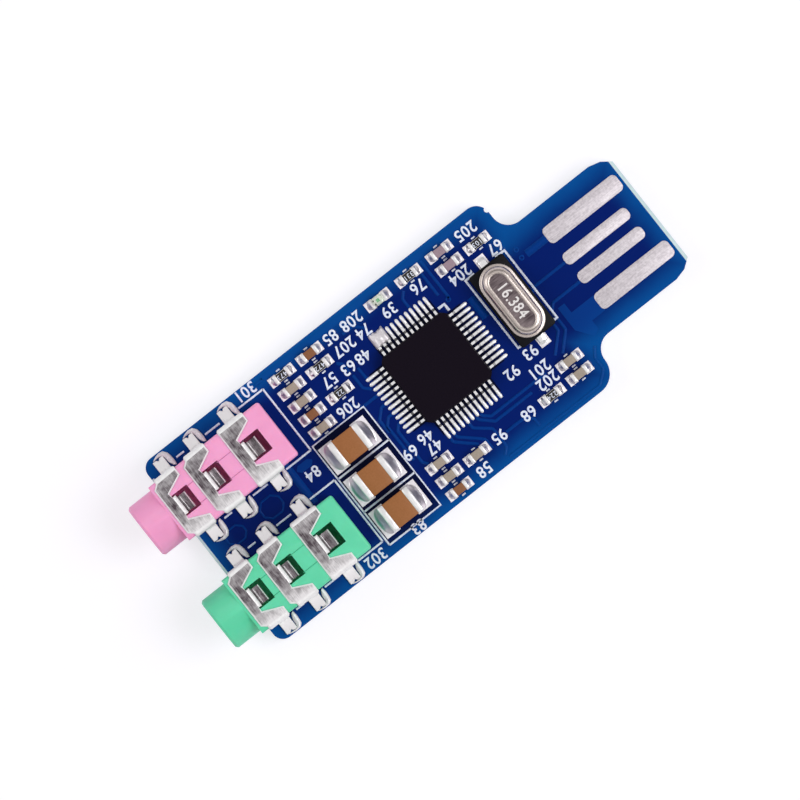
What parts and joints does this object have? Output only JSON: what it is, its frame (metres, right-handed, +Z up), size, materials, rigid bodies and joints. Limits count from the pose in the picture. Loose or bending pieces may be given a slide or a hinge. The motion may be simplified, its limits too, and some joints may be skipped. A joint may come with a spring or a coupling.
{
  "type": "usb audio interface",
  "caption": "Bare USB sound board: an edge tab plugs into a USB socket, with pink and green 3.5 mm jacks, a codec chip, a crystal and small surface parts.",
  "frame": {"origin": "under the middle of the whole part, on the board's underside", "axes": "+X from the jacks to the USB tab, +Y towards the microphone jack, +Z up from the board"},
  "size_m": [0.05, 0.019, 0.0072],
  "materials": {
    "solder_mask": "glossy blue solder mask over copper on glass-epoxy",
    "contact_plating": "plated contacts, satin",
    "mic_jack_plastic": "moulded pink plastic, satin",
    "speaker_jack_plastic": "moulded mint green plastic, satin",
    "spring_metal": "tinned spring sheet, bright",
    "chip_moulding": "fine matt black moulding compound",
    "tinned_leads": "tinned, bright",
    "crystal_can": "nickel-plated can, satin",
    "crystal_base": "black moulded plastic",
    "capacitor_ceramic": "fired ceramic with tinned ends",
    "resistor_coat": "black protective glaze with tinned ends",
    "lamp_resin": "clear resin over a white base",
    "solder": "bright solder"
  },
  "bodies": {
    "root": {"circuit_board": "solder_mask", "usb_contact_power": "contact_plating", "usb_contact_data_minus": "contact_plating", "usb_contact_data_plus": "contact_plating", "usb_contact_ground": "contact_plating", "mic_jack_housing": "mic_jack_plastic", "speaker_jack_housing": "speaker_jack_plastic", "mic_jack_sleeve_spring": "spring_metal", "mic_jack_ring_spring": "spring_metal", "mic_jack_tip_spring": "spring_metal", "speaker_jack_sleeve_spring": "spring_metal", "speaker_jack_ring_spring": "spring_metal", "speaker_jack_tip_spring": "spring_metal", "codec_chip_body": "chip_moulding", "codec_chip_leads": "tinned_leads", "crystal_base": "crystal_base", "crystal_can": "crystal_can", "crystal_leads": "tinned_leads", "supply_capacitor_1": "capacitor_ceramic", "supply_capacitor_2": "capacitor_ceramic", "supply_capacitor_3": "capacitor_ceramic", "small_capacitor_1": "capacitor_ceramic", "small_capacitor_2": "capacitor_ceramic", "small_capacitor_3": "capacitor_ceramic", "small_capacitor_4": "capacitor_ceramic", "small_capacitor_5": "capacitor_ceramic", "small_capacitor_6": "capacitor_ceramic", "small_capacitor_7": "capacitor_ceramic", "small_capacitor_8": "capacitor_ceramic", "small_capacitor_9": "capacitor_ceramic", "small_capacitor_10": "capacitor_ceramic", "small_capacitor_11": "capacitor_ceramic", "small_capacitor_12": "capacitor_ceramic", "small_capacitor_13": "capacitor_ceramic", "resistor_1": "resistor_coat", "resistor_2": "resistor_coat", "resistor_3": "resistor_coat", "resistor_4": "resistor_coat", "resistor_5": "resistor_coat", "resistor_6": "resistor_coat", "status_lamp": "lamp_resin", "jack_solder": "solder", "chip_solder": "solder", "crystal_solder": "solder", "supply_capacitor_solder": "solder", "small_part_solder": "solder"}
  },
  "joints": []
}
